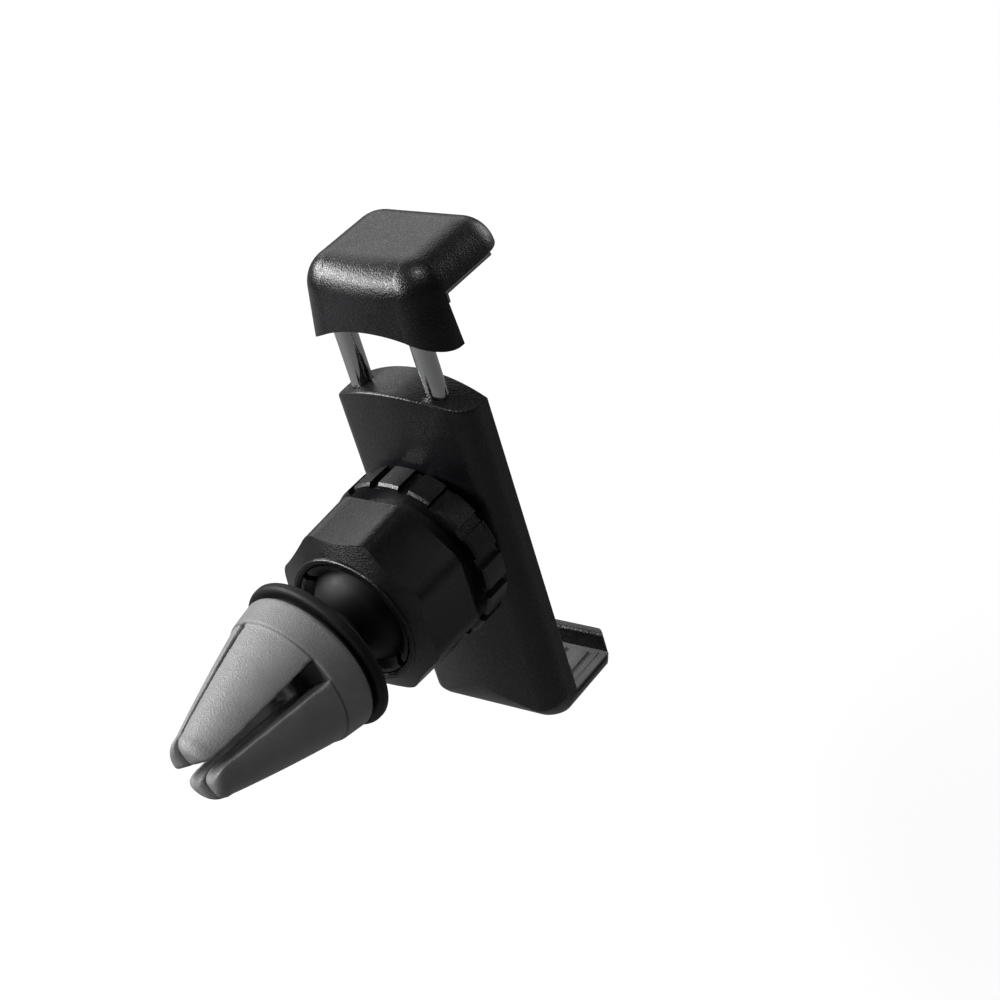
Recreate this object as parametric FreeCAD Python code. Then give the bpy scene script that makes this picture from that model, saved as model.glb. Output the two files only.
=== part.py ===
import FreeCAD, Part
import math
import os

Vector = FreeCAD.Vector
Rotation = FreeCAD.Rotation
Placement = FreeCAD.Placement

os.makedirs("parts", exist_ok=True)

# Air vent phone holder, in millimetres. X is across the holder, Y points from the
# vent towards the phone and Z is the way the jaw slides. The row's origin is the
# point between the four clip fingers where a vent blade is gripped.
# The holder is drawn about the middle of the plane that the phone's back lies in,
# the clip about the centre of its ball, and both are then moved to the row frame.

# Phone space
grip_width = 67.1
phone_room = 8.7
pad_proud = 0.3

# Jaw travel: how far the stored pose is from closed
jaw_open = 9.8

# Body
body_width = 24.0
body_depth = 7.4
body_top = 21.3
body_bottom = 38.3
arch_radius = 22.2
bottom_radius = 40.0
back_bow = 33.0
corner_round = 4.0
bottom_round = 3.2
heel_round = 8.5
wall = 1.3
cavity_top = 16.8
cavity_bottom = 32.2
cover_thick = 1.2
cover_bottom = 29.4
cover_rim = 0.8
rim_fit = 0.1
seam_round = 0.35

# Lower hook
hook_leg = 0.5
lip_thick = 2.0
lip_rise = 3.4
lip_round = 0.8
toe_round = 4.0
lip_corner = 3.5

# Soft liners and the pad behind the phone
liner_skin = 0.45
hook_pad_rise = 0.45
jaw_pad_rise = 1.2
liner_margin = 1.6
liner_ridge = 0.35
liner_ridges = 5
hook_liner_height = 4.9
jaw_liner_drop = 1.7
hook_liner_margin = 0.3
jaw_liner_margin = 0.25
shell_edge_round = 0.35
pad_width = 18.0
pad_height = 38.0
pad_centre = -6.0
pad_thick = 0.8
pad_corner = 3.0
pad_ribs = 7
pad_rib_width = 2.0
pad_rib_height = 0.25

# Guide rods and their springs
rod_radius = 1.6
rod_spacing = 13.2
rod_depth = 3.8
rod_fit = 0.05
rod_foot = 22.0
rod_head_radius = 1.9
rod_head_cover = 0.4
rod_head_height = 1.2
rod_groove_depth = 0.35
rod_groove_height = 0.6
rod_tail = 1.0
rod_clip_gap = 1.2
rod_chamfer = 0.3
spring_wire = 0.5
spring_gap = 0.15
spring_turns = 14
washer_thick = 0.5
channel_gap = 0.15

# Jaw
jaw_top = 40.0
jaw_foot = 28.0
jaw_half_width = 12.25
jaw_back = 7.95
jaw_front = 13.9
jaw_side_draft = 0.09
jaw_back_draft = 0.13
jaw_front_draft = 0.09
jaw_back_round = 5.2
jaw_front_round = 5.0
jaw_top_round = 5.0
jaw_bow = 0.45
jaw_skirt = 1.9
jaw_wall = 1.3
jaw_lip_drop = 3.0
jaw_lip_width = 19.0
jaw_fit = 0.05
jaw_plate_thick = 1.6
jaw_split_floor = 1.6

# Screws
screw_radius = 0.8
screw_head_radius = 1.6
screw_head_height = 1.0
screw_fit = 0.1
screw_seat_thick = 0.6
screw_recess_width = 0.4
screw_recess_depth = 0.6
boss_radius = 2.1
cover_screw_length = 4.6
socket_screw_length = 5.0
jaw_screw_length = 2.2
cover_screw_heights = (10.2, -21.6)
socket_screw_x = 2.4
socket_screw_z = 6.4
jaw_screw_x = 7.0
jaw_screw_y = 4.2

# Ball joint, measured along its axis from the centre of the ball
ball_radius = 8.5
ball_behind = 21.0
ball_drop = 3.6
ball_fit = 0.05
cup_thick = 1.0
cup_angle = 20.0
cup_pocket_angle = 55.0
socket_tip = 5.1
socket_tip_radius = 9.1
socket_funnel = 0.9
socket_shoulder = 0.4
socket_shoulder_radius = 10.35
socket_barrel_radius = 10.9
socket_slot = 1.4
socket_slot_floor = 3.2
socket_slots = 4
ring_radius = 13.4
ring_front = 8.3
ring_back = 13.0
ring_notches = 16
ring_notch_width = 1.7
ring_notch_depth = 0.9
ring_edge = 0.35
skirt_radius = 9.4
skirt_short = 1.5
spigot_radius = 3.4
spigot_fit = 0.05

# Lock nut
nut_sides = 8
nut_wall = 3.0
nut_taper = 0.4
nut_hollow = 0.35
nut_corner_round = 2.8
nut_back = 5.6
nut_front = 4.95
nut_cone_slope = 0.5
bead_wall = 0.95
bead_height = 0.5
mouth_bevel = 0.35
bead_fit = 0.2
nut_thread_fit = 0.08
nut_lead_in = 0.6
nut_back_bevel = 1.6
nut_back_rise = 0.8

# Vent clip, measured along its axis from the centre of the ball
clip_swing = 4.3
clip_tilt = 2.7
clip_roll = 28.5
grip_distance = 27.0
neck_radius = 4.0
neck_round = 1.6
flange_back = 11.9
flange_thick = 2.0
flange_radius = 12.0
flange_back_round = 0.3
flange_front_round = 0.75
flange_rim = 1.5
flange_step_radius = 10.4
collar_length = 4.6
collar_radius = 11.15
collar_front_radius = 10.55
collar_round = 0.6
collar_wall = 1.9
finger_root_radius = 10.3
finger_bulge = 0.15
finger_tip_radius = 5.2
finger_shoulder = 35.2
finger_end = 37.3
finger_end_radius = 2.7
finger_skin = 1.0
finger_fit = 0.05
wide_slot_root = 3.6
wide_slot_tip = 1.3
wide_slot_lean = 0.3
narrow_slot_root = 1.3
narrow_slot_tip = 0.5
narrow_slot_lean = 0.8
hub_top = 17.6
boss_height = 1.4
slot_boss_radius = 3.0

# Worked out from the sizes above
half_width = body_width / 2
half_grip = grip_width / 2
cover_front = -pad_proud
seam_y = cover_front - cover_thick
back_y = cover_front - body_depth
rod_y = cover_front - rod_depth
rod_x = rod_spacing / 2
hook_seat = -half_grip - liner_skin - hook_pad_rise
jaw_seat = half_grip + liner_skin + jaw_pad_rise
lip_inner = phone_room
lip_outer = lip_inner + lip_thick
arch_centre = body_top - arch_radius
bottom_centre = bottom_radius - body_bottom
beyond = 30.0
spring_outer = rod_radius + rod_fit + spring_gap + spring_wire
channel_radius = spring_outer + channel_gap
ball_centre = Vector(0, -ball_behind, -ball_drop)
back_distance = ball_behind + back_y
flange_front = flange_back + flange_thick
collar_end = flange_front + collar_length
cup_outer = ball_radius + ball_fit + cup_thick
pad_floor = -pad_thick
cover_seat_y = pad_floor - screw_head_height
cover_boss_y = cover_seat_y - screw_seat_thick
nut_back_radius = socket_barrel_radius + nut_wall
nut_front_radius = nut_back_radius - nut_taper
bead_radius = socket_tip_radius + bead_fit + bead_wall
jaw_screw_seat = jaw_seat + screw_head_height
jaw_plate_top = jaw_seat + jaw_plate_thick


def box(x0, x1, y0, y1, z0, z1):
    return Part.makeBox(x1 - x0, y1 - y0, z1 - z0, Vector(x0, y0, z0))


def rod(radius, start, end):
    """A cylinder from one point to another."""
    return Part.makeCylinder(radius, start.distanceToPoint(end), start, end - start)


def line(a, b):
    return Part.makeLine(a, b)


def arc(a, middle, b):
    return Part.Arc(a, middle, b).toShape()


def prism(edges, direction):
    return Part.Face(Part.Wire(edges)).extrude(direction)


def outline(points):
    return [line(a, b) for a, b in zip(points, points[1:] + points[:1])]


def fuse(shapes):
    joined = shapes[0]
    for shape in shapes[1:]:
        joined = joined.fuse(shape)
    return joined.removeSplitter()


def cut(shape, tools):
    for tool in tools:
        shape = shape.cut(tool)
    return shape


def along(edge, axis):
    if edge.Curve.TypeId != "Part::GeomLine":
        return False
    return abs(abs(edge.Curve.Direction.dot(axis)) - 1) < 1e-6


def rounded(shape, radius, wanted):
    """The shape with the edges that pass a test rounded."""
    edges = [edge for edge in shape.Edges if wanted(edge)]
    return shape.makeFillet(radius, edges)


def revolve(points):
    """A solid of revolution about Z from (radius, height) points."""
    corners = [Vector(radius, 0, height) for radius, height in points]
    face = Part.Face(Part.Wire(outline(corners)))
    return face.revolve(Vector(0, 0, 0), Vector(0, 0, 1), 360)


def cap(radius, low, high):
    """The part of a ball about the origin between two heights."""
    ball = Part.makeSphere(radius)
    return ball.common(box(-beyond, beyond, -beyond, beyond, low, high))


def screw(length):
    """A pan head screw with a cross recess, head on +Z, seat at the origin."""
    head = Part.makeCylinder(screw_head_radius, screw_head_height)
    head = rounded(head, screw_head_height / 3, lambda e: e.CenterOfMass.z > screw_head_height - 1e-3)
    shank = Part.makeCylinder(screw_radius, length, Vector(0, 0, -length))
    reach = screw_head_radius * 0.6
    half = screw_recess_width / 2
    floor = screw_head_height - screw_recess_depth
    across = box(-reach, reach, -half, half, floor, screw_head_height + 1)
    upright = box(-half, half, -reach, reach, floor, screw_head_height + 1)
    return cut(fuse([head, shank]), [across, upright])


def turned(shape, direction, seat):
    """A shape drawn on +Z, turned to point along a direction from a seat."""
    placed = shape.copy()
    placed.Placement = Placement(seat, Rotation(Vector(0, 0, 1), direction))
    return placed


# Outer forms of the body, which its walls follow at an inset


def front_outline(inset, left=-half_width, right=half_width):
    """The body seen from the phone: arched top and bottom, straight sides."""
    low, high = left + inset, right - inset
    top_radius = arch_radius - inset
    base_radius = bottom_radius - inset

    def top(x):
        return arch_centre + math.sqrt(top_radius**2 - x**2)

    def base(x):
        return bottom_centre - math.sqrt(base_radius**2 - x**2)

    def at(x, z):
        return Vector(x, -beyond, z)

    edges = [
        arc(at(low, top(low)), at(0, top(0)), at(high, top(high))),
        line(at(high, top(high)), at(high, base(high))),
        arc(at(high, base(high)), at(0, base(0)), at(low, base(low))),
        line(at(low, base(low)), at(low, top(low))),
    ]
    form = prism(edges, Vector(0, 2 * beyond, 0))
    return rounded(form, bottom_round, lambda e: along(e, Vector(0, 1, 0)) and e.CenterOfMass.z < 0)


def plan_outline(inset, front, front_round, depth=back_y):
    """The body seen from above: bowed back, rounded corners."""
    side = half_width - inset
    radius = back_bow - inset
    centre = depth + back_bow

    def back(x):
        return centre - math.sqrt(radius**2 - x**2)

    def at(x, y):
        return Vector(x, y, -2 * beyond)

    edges = [
        arc(at(-side, back(side)), at(0, back(0)), at(side, back(side))),
        line(at(side, back(side)), at(side, front)),
        line(at(side, front), at(-side, front)),
        line(at(-side, front), at(-side, back(side))),
    ]
    form = prism(edges, Vector(0, 0, 4 * beyond))
    form = rounded(
        form, corner_round - inset, lambda e: along(e, Vector(0, 0, 1)) and e.CenterOfMass.y < seam_y
    )
    if front_round:
        form = rounded(form, front_round, lambda e: along(e, Vector(0, 0, 1)) and e.CenterOfMass.y > 0)
    return form


def body_form():
    """The back shell's outside with the lower hook, before it is hollowed."""
    roof = body_top + 1
    base = -body_bottom - 1
    lip_top = hook_seat + lip_rise
    corners = [
        (seam_y, roof),
        (seam_y, -cover_bottom),
        (-hook_leg, -cover_bottom),
        (-hook_leg, hook_seat),
        (lip_inner, hook_seat),
        (lip_inner, lip_top),
        (lip_outer, lip_top),
        (lip_outer, -body_bottom),
        (back_y, -body_bottom),
        (back_y, roof),
    ]
    side = prism(
        outline([Vector(-beyond, y, z) for y, z in corners]), Vector(2 * beyond, 0, 0)
    )
    across = Vector(1, 0, 0)
    side = rounded(
        side,
        heel_round,
        lambda e: along(e, across) and e.CenterOfMass.y < back_y + 0.01 and e.CenterOfMass.z < base + 2,
    )
    side = rounded(
        side,
        toe_round,
        lambda e: along(e, across) and e.CenterOfMass.y > lip_outer - 0.01 and e.CenterOfMass.z < base + 2,
    )
    side = rounded(
        side, lip_round, lambda e: along(e, across) and abs(e.CenterOfMass.z - lip_top) < 0.01
    )
    form = side.common(front_outline(0)).common(plan_outline(0, lip_outer, lip_corner))
    return rounded(form, shell_edge_round, is_top_edge)


def is_top_edge(edge):
    """The arched edge round the back and the sides of the body's top."""
    bounds = edge.BoundBox
    return bounds.ZMin > cavity_top - 1 and bounds.YMin < seam_y - 0.1


def rod_places():
    return [Vector(side * rod_x, rod_y, 0) for side in (-1, 1)]


def build_back_shell(form):
    cavity = box(-beyond, beyond, -beyond, seam_y + 0.01, -cavity_bottom, cavity_top)
    cavity = cavity.common(front_outline(wall)).common(plan_outline(wall, beyond, 0))
    channels = []
    foot = -rod_foot - jaw_open
    for place in rod_places():
        low = Vector(place.x, place.y, foot)
        seat = Vector(place.x, place.y, cavity_top)
        out = Vector(place.x, place.y, body_top + 1)
        channels.append(rod(channel_radius, low, seat))
        channels.append(rod(rod_radius + rod_fit, seat, out))
    shell = cut(form, [cavity] + channels)
    bosses = []
    holes = []
    for height in cover_screw_heights:
        root = Vector(0, back_y + wall / 2, height)
        mouth = Vector(0, cover_boss_y, height)
        bosses.append(rod(boss_radius, root, mouth))
        holes.append(rod(screw_radius, Vector(0, cover_seat_y - cover_screw_length, height), mouth))
    shell = cut(fuse([shell] + bosses), holes)
    inner = Vector(0, back_y + wall, -ball_drop)
    outer = Vector(0, back_y - 1, -ball_drop)
    shell = cut(shell, [rod(spigot_radius + spigot_fit, outer, inner + Vector(0, 0.5, 0))])
    for x, z in socket_screw_places():
        seat = Vector(x, back_y + wall, z)
        shell = shell.cut(rod(screw_radius, Vector(x, back_y - 1, z), seat + Vector(0, 0.5, 0)))
        shell = shell.cut(rod(screw_head_radius + screw_fit, seat, seat + Vector(0, 0.6, 0)))
    return shell


def socket_screw_places():
    return [
        (sx * socket_screw_x, -ball_drop + sz * socket_screw_z) for sx in (-1, 1) for sz in (-1, 1)
    ]


def build_front_cover():
    plate = box(-beyond, beyond, seam_y, cover_front, -cover_bottom, body_top + 1)
    plate = plate.common(front_outline(0))
    plate = rounded(
        plate, seam_round, lambda e: abs(e.CenterOfMass.y - cover_front) < 1e-3 and e.Length > 1
    )
    rim_side = half_width - wall - rim_fit
    rim_low = -cover_bottom + cover_rim
    rim_high = cavity_top - rim_fit
    rim_outer = box(-rim_side, rim_side, seam_y - cover_rim, seam_y, rim_low, rim_high)
    rim_inner = box(
        -rim_side + cover_rim,
        rim_side - cover_rim,
        seam_y - cover_rim,
        seam_y,
        rim_low + cover_rim,
        rim_high - cover_rim,
    )
    plate = fuse([plate, rim_outer.cut(rim_inner)])
    plate = plate.cut(pad_block(0.0, pad_thick))
    for height in cover_screw_heights:
        low = Vector(0, cover_boss_y, height)
        seat = Vector(0, cover_seat_y, height)
        plate = plate.fuse(rod(boss_radius, low, Vector(0, pad_floor, height)))
        plate = plate.cut(rod(screw_radius + screw_fit, low, seat))
        plate = plate.cut(rod(screw_head_radius + screw_fit, seat, Vector(0, 0, height)))
    for place in rod_places():
        low = Vector(place.x, place.y, -body_bottom)
        plate = plate.cut(rod(channel_radius, low, Vector(place.x, place.y, cavity_top)))
    return plate


def pad_block(inset, thick):
    """The outline of the front pad's bed, as deep as asked behind the cover's face."""
    side = pad_width / 2 - inset
    low = pad_centre - pad_height / 2 + inset
    high = pad_centre + pad_height / 2 - inset
    block = box(-side, side, pad_floor, pad_floor + thick, low, high)
    return rounded(block, pad_corner, lambda e: along(e, Vector(0, 1, 0)))


def build_front_pad():
    pad = pad_block(0.05, pad_thick - pad_rib_height)
    face = -pad_rib_height
    pitch = (pad_height - 2 * pad_corner) / pad_ribs
    ribs = []
    for i in range(pad_ribs):
        middle = pad_centre + (i - (pad_ribs - 1) / 2) * pitch
        half = pad_width / 2 - pad_corner / 2
        ribs.append(
            box(-half, half, face - 0.1, 0, middle - pad_rib_width / 2, middle + pad_rib_width / 2)
        )
    return fuse([pad] + ribs)


def ridges(half, start, end, level, rise):
    """Ridges along Y on a liner's face, level is their root and rise their way up."""
    made = []
    pitch = 2 * half / liner_ridges
    low, high = sorted((level - 0.1 * rise / abs(rise), level + rise))
    for i in range(liner_ridges):
        middle = (i - (liner_ridges - 1) / 2) * pitch
        made.append(box(middle - pitch / 4, middle + pitch / 4, start, end, low, high))
    return made


def build_hook_pad():
    side = half_width - hook_liner_margin
    flange = box(-side, side, -hook_leg, lip_inner, hook_seat, hook_seat + liner_skin)
    leg = box(-side, side, -hook_leg, -0.05, hook_seat, hook_seat + hook_liner_height)
    block = half_width - liner_margin
    top = -half_grip - liner_ridge
    raised = box(-block, block, 0.6, lip_inner - 0.6, hook_seat, top)
    bars = ridges(block - 0.5, 1.2, lip_inner - 1.2, top, liner_ridge)
    return fuse([flange, leg, raised] + bars)


def build_jaw_liner():
    side = half_width - jaw_liner_margin
    back = -jaw_skirt
    flange = box(-side, side, back, lip_inner, jaw_seat - liner_skin, jaw_seat)
    leg = box(-side, side, back, back + liner_skin, jaw_seat - jaw_liner_drop, jaw_seat)
    block = half_width - liner_margin
    low = half_grip + liner_ridge
    raised = box(-block, block, 0.6, lip_inner - 0.6, low, jaw_seat)
    bars = ridges(block - 0.5, 1.2, lip_inner - 1.2, low, -liner_ridge)
    return fuse([flange, leg, raised] + bars)


def jaw_section(height, inset):
    """The jaw's outline at a height: bowed back, round corners, narrower going up."""
    climb = height - jaw_foot
    side = jaw_half_width - jaw_side_draft * climb - inset
    back = -jaw_back + jaw_back_draft * climb + inset
    front = jaw_front - jaw_front_draft * climb - inset
    shoulder = back + jaw_bow
    rear, fore = jaw_back_round - inset, jaw_front_round - inset
    bite = 1 - math.sqrt(0.5)

    def at(x, y):
        return Vector(x, y, height)

    edges = []
    for flank in (-1, 1):
        edges.append(
            arc(
                at(flank * side, shoulder + rear),
                at(flank * (side - rear * bite), shoulder + rear * bite),
                at(flank * (side - rear), shoulder),
            )
        )
        edges.append(line(at(flank * side, shoulder + rear), at(flank * side, front - fore)))
        edges.append(
            arc(
                at(flank * side, front - fore),
                at(flank * (side - fore * bite), front - fore * bite),
                at(flank * (side - fore), front),
            )
        )
    edges.append(arc(at(rear - side, shoulder), at(0, back), at(side - rear, shoulder)))
    edges.append(line(at(fore - side, front), at(side - fore, front)))
    return Part.Wire(Part.__sortEdges__(edges))


def jaw_block(inset):
    """The jaw's outside, or its pocket's at an inset, with the top edge rounded."""
    top = jaw_top - inset
    block = Part.makeLoft([jaw_section(body_top, inset), jaw_section(top, inset)], True, True)
    return rounded(block, jaw_top_round - inset, lambda e: abs(e.CenterOfMass.z - top) < 1e-3)


def jaw_form():
    """The jaw before its pocket is cut: open under the phone's edge, arched below."""
    body_arch = front_outline(0, -jaw_half_width - 1, jaw_half_width + 1)
    body_arch.translate(Vector(0, 0, jaw_open))
    under = box(-beyond, beyond, -jaw_skirt, beyond, 0, jaw_seat)
    block = cut(jaw_block(0), [body_arch, under])
    half = jaw_lip_width / 2
    lip_low = jaw_seat - jaw_lip_drop
    lip = box(-half, half, lip_inner, lip_outer, lip_low, jaw_seat + 1)
    across = Vector(0, 1, 0)
    lip = rounded(
        lip, jaw_lip_drop * 0.8, lambda e: along(e, across) and e.CenterOfMass.z < jaw_seat
    )
    lip = rounded(
        lip,
        lip_round,
        lambda e: abs(e.CenterOfMass.y - lip_outer) < 1e-3 and e.CenterOfMass.z < jaw_seat + 0.5,
    )
    return fuse([block, lip])


def build_jaw_shell():
    form = jaw_form()
    floor = body_top + jaw_open + jaw_split_floor
    roof = jaw_top - jaw_wall
    room = jaw_block(jaw_wall)
    skirt_room = room.common(box(-beyond, beyond, rod_y, -jaw_skirt, floor, jaw_seat + 0.1))
    top_room = room.common(box(-beyond, beyond, rod_y, lip_inner - jaw_wall, jaw_seat, roof))
    shell = cut(form, [skirt_room, top_room])
    for sx in (-1, 1):
        foot = Vector(sx * jaw_screw_x, jaw_screw_y, jaw_plate_top)
        shell = shell.fuse(rod(boss_radius, foot, Vector(foot.x, foot.y, roof + jaw_wall / 2)))
        tip = Vector(foot.x, foot.y, jaw_screw_seat + jaw_screw_length)
        shell = shell.cut(rod(screw_radius, foot, tip))
    for place in rod_places():
        shell = cut(shell, rod_space(place))
    rib = box(-0.5, 0.5, -jaw_skirt, lip_inner - jaw_wall, jaw_plate_top, roof + jaw_wall / 2)
    return shell.fuse(rib).removeSplitter()


def rod_space(place):
    """What a rod and its head take out of the two halves of the jaw."""
    top = rod_top()
    low = Vector(place.x, place.y, 0)
    head = Vector(place.x, place.y, top - rod_head_height - 0.05)
    return [
        rod(rod_radius, low, head),
        rod(rod_head_radius, head, Vector(place.x, place.y, top + 0.05)),
    ]


def rod_top():
    return jaw_seat + rod_head_cover


def build_jaw_plate():
    floor = body_top + jaw_open + jaw_split_floor + jaw_fit
    room = jaw_block(jaw_wall + jaw_fit)
    inner = box(-beyond, beyond, rod_y, -jaw_skirt, floor, jaw_plate_top)
    reach = lip_inner - jaw_wall - jaw_fit
    under = box(-beyond, beyond, -jaw_skirt, reach, jaw_seat, jaw_plate_top)
    plate = room.common(fuse([inner, under]))
    for place in rod_places():
        plate = cut(plate, rod_space(place))
    for sx in (-1, 1):
        low = Vector(sx * jaw_screw_x, jaw_screw_y, jaw_seat)
        seat = Vector(low.x, low.y, jaw_screw_seat)
        plate = plate.cut(rod(screw_radius + screw_fit, low, low + Vector(0, 0, beyond)))
        plate = plate.cut(rod(screw_head_radius + screw_fit, low, seat))
    return plate


def build_rod(place):
    top = rod_top()
    foot = -rod_foot
    shaft = rod(rod_radius, Vector(place.x, place.y, foot), Vector(place.x, place.y, top))
    shaft = shaft.makeChamfer(rod_chamfer, [e for e in shaft.Edges if abs(e.CenterOfMass.z - foot) < 1e-3])
    head = rod(
        rod_head_radius,
        Vector(place.x, place.y, top - rod_head_height),
        Vector(place.x, place.y, top),
    )
    low = Vector(place.x, place.y, foot + rod_tail)
    high = low + Vector(0, 0, rod_groove_height)
    groove = rod(rod_radius + 1, low, high).cut(rod(rod_radius - rod_groove_depth, low, high))
    return fuse([shaft, head]).cut(groove)


def build_rod_clip(place):
    """A spring-steel ring with a gap, snapped into the rod's groove."""
    low = Vector(place.x, place.y, -rod_foot + rod_tail)
    high = low + Vector(0, 0, rod_groove_height)
    ring = rod(spring_outer - 0.1, low, high).cut(rod(rod_radius - rod_groove_depth, low, high))
    half = rod_clip_gap / 2
    gap = box(place.x - half, place.x + half, place.y, place.y + beyond, low.z - 1, high.z + 1)
    return ring.cut(gap)


def washer_level():
    return -rod_foot + rod_tail + rod_groove_height


def build_washer(place):
    low = Vector(place.x, place.y, washer_level())
    high = low + Vector(0, 0, washer_thick)
    return rod(spring_outer, low, high).cut(rod(rod_radius + rod_fit, low, high))


def build_spring(place):
    """A compression spring from the washer to the shell's ceiling."""
    low = washer_level() + washer_thick
    height = cavity_top - low - spring_wire
    middle = spring_outer - spring_wire / 2
    path = Part.makeHelix(height / spring_turns, height, middle)
    section = Part.Wire([Part.makeCircle(spring_wire / 2, Vector(middle, 0, 0), Vector(0, 1, 0))])
    coil = Part.Wire(path).makePipeShell([section], True, True)
    coil.translate(Vector(place.x, place.y, low + spring_wire / 2))
    return Part.Solid(coil) if coil.ShapeType == "Shell" else coil


# The ball joint's pieces are drawn with the ball's centre at the origin and the clip on +Z


def to_holder(shape):
    """From the ball joint's own frame to the holder's: +Z there is -Y here."""
    return turned(shape, Vector(0, -1, 0), ball_centre)


def build_friction_cup():
    inner = ball_radius + ball_fit
    level = -inner * math.cos(math.radians(cup_angle))
    disc = cap(cup_outer, -cup_outer - 1, level)
    return disc.cut(Part.makeSphere(inner))


def build_ball_socket(form):
    tip = socket_tip
    base = -back_distance
    profile = [
        (0, -ring_back),
        (skirt_radius, -ring_back),
        (skirt_radius, -ring_front),
        (socket_barrel_radius, -ring_front),
        (socket_barrel_radius, -socket_shoulder),
        (socket_shoulder_radius, -socket_shoulder),
        (socket_tip_radius, tip),
        (0, tip),
    ]
    barrel = revolve(profile)
    ring = revolve([
        (0, -ring_back),
        (ring_radius - ring_edge, -ring_back),
        (ring_radius, -ring_back + ring_edge),
        (ring_radius, -ring_front - ring_edge),
        (ring_radius - ring_edge, -ring_front),
        (0, -ring_front),
    ])
    notch = box(
        ring_radius - ring_notch_depth,
        ring_radius + 1,
        -ring_notch_width / 2,
        ring_notch_width / 2,
        -ring_back - 1,
        -ring_front + 1,
    )
    for i in range(ring_notches):
        tool = notch.copy()
        tool.rotate(Vector(0, 0, 0), Vector(0, 0, 1), (i + 0.4) * 360 / ring_notches)
        ring = ring.cut(tool)
    skirt = Part.makeCylinder(skirt_radius, body_depth, Vector(0, 0, -ring_back - body_depth))
    spigot = Part.makeCylinder(spigot_radius, wall, Vector(0, 0, base - wall))
    hollow = Part.makeSphere(ball_radius + ball_fit)
    pocket_level = -cup_outer * math.cos(math.radians(cup_pocket_angle))
    pocket = cap(cup_outer + ball_fit, -beyond, pocket_level)
    lip_level = tip - socket_funnel
    mouth_radius = math.sqrt((ball_radius + ball_fit) ** 2 - lip_level**2)
    funnel = revolve([
        (0, lip_level - 0.01),
        (mouth_radius, lip_level - 0.01),
        (socket_tip_radius - 0.5, tip + 0.01),
        (0, tip + 0.01),
    ])
    body = fuse([barrel, ring]).cut(hollow)
    body = cut(body, [pocket, funnel])
    for i in range(socket_slots // 2):
        reach = socket_barrel_radius + 1
        half = socket_slot / 2
        slot = box(-reach, reach, -half, half, -socket_slot_floor, tip + 1)
        slot.rotate(Vector(0, 0, 0), Vector(0, 0, 1), 45 + i * 90)
        body = body.cut(slot)
    skirt = to_holder(skirt).cut(form)
    trim = box(-beyond, beyond, -beyond, seam_y - skirt_short, -beyond, beyond)
    skirt = skirt.common(trim)
    socket = fuse([to_holder(body), skirt, to_holder(spigot)])
    for x, z in socket_screw_places():
        seat = Vector(x, back_y + wall, z)
        socket = socket.cut(rod(screw_radius, seat - Vector(0, socket_screw_length, 0), seat))
    return socket


def build_lock_nut():
    def ring_of(radius, height):
        turn = math.pi / nut_sides
        flat = radius * math.cos(turn) - nut_hollow

        def at(distance, angle):
            return Vector(distance * math.cos(angle), distance * math.sin(angle), height)

        sides = [
            arc(at(radius, (2 * i - 1) * turn), at(flat, 2 * i * turn), at(radius, (2 * i + 1) * turn))
            for i in range(nut_sides)
        ]
        return Part.Wire(sides)

    solid = Part.makeLoft([ring_of(nut_back_radius, -nut_back), ring_of(nut_front_radius, nut_front)], True)
    solid = rounded(solid, nut_corner_round, lambda e: abs(e.CenterOfMass.z + (nut_back - nut_front) / 2) < 0.5)
    far = nut_back_radius + 2
    cone = revolve([
        (0, -nut_back - 1),
        (nut_back_radius - nut_back_bevel, -nut_back - 1),
        (nut_back_radius - nut_back_bevel, -nut_back),
        (far, -nut_back + nut_back_rise),
        (far, nut_front - (far - bead_radius) * nut_cone_slope),
        (bead_radius, nut_front),
        (0, nut_front),
    ])
    solid = solid.common(cone)
    bead = Part.makeCylinder(bead_radius, bead_height + 1, Vector(0, 0, nut_front - 1))
    bead = rounded(bead, bead_height * 0.5, lambda e: e.CenterOfMass.z > nut_front)
    solid = fuse([solid, bead])
    slope = (socket_shoulder_radius - socket_tip_radius) / (socket_tip + socket_shoulder)
    rim = nut_front + bead_height
    bevel = rim - mouth_bevel
    bevel_radius = socket_tip_radius + bead_fit - (bevel - socket_tip) * slope
    fit = nut_thread_fit
    bore = revolve([
        (0, -nut_back - 1),
        (socket_barrel_radius + fit + nut_lead_in, -nut_back - 1),
        (socket_barrel_radius + fit + nut_lead_in, -nut_back),
        (socket_barrel_radius + fit, -nut_back + nut_lead_in),
        (socket_barrel_radius + fit, -socket_shoulder + fit),
        (socket_shoulder_radius + bead_fit, -socket_shoulder + fit),
        (bevel_radius, bevel),
        (bevel_radius + mouth_bevel, rim),
        (bevel_radius + mouth_bevel, rim + 1),
        (0, rim + 1),
    ])
    return solid.cut(bore)


# The vent clip is drawn with the ball's centre at the origin and the fingers on +Z


def slot_wedge(root, tip, lean, low):
    """A slot across the fingers: its half widths at their root and tips, its shift at the root."""
    reach = flange_radius + 2
    length = finger_end - collar_end

    def at(height, side):
        share = (finger_end - height) / length
        half = tip + (root - tip) * share
        return Vector(lean * share + side * half, -reach, height)

    end = finger_end + 2
    corners = [at(low, -1), at(low, 1), at(end, 1), at(end, -1)]
    return prism(outline(corners), Vector(0, 2 * reach, 0))


def cross_slot(widen, low):
    """The wide slot for a thick blade and the narrow one across it for a thin blade."""
    narrow = slot_wedge(
        narrow_slot_root / 2 + widen, narrow_slot_tip / 2 + widen, narrow_slot_lean, low
    )
    wide = slot_wedge(wide_slot_root / 2 + widen, wide_slot_tip / 2 + widen, wide_slot_lean, low)
    wide.rotate(Vector(0, 0, 0), Vector(0, 0, 1), 90)
    return narrow.fuse(wide)


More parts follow.
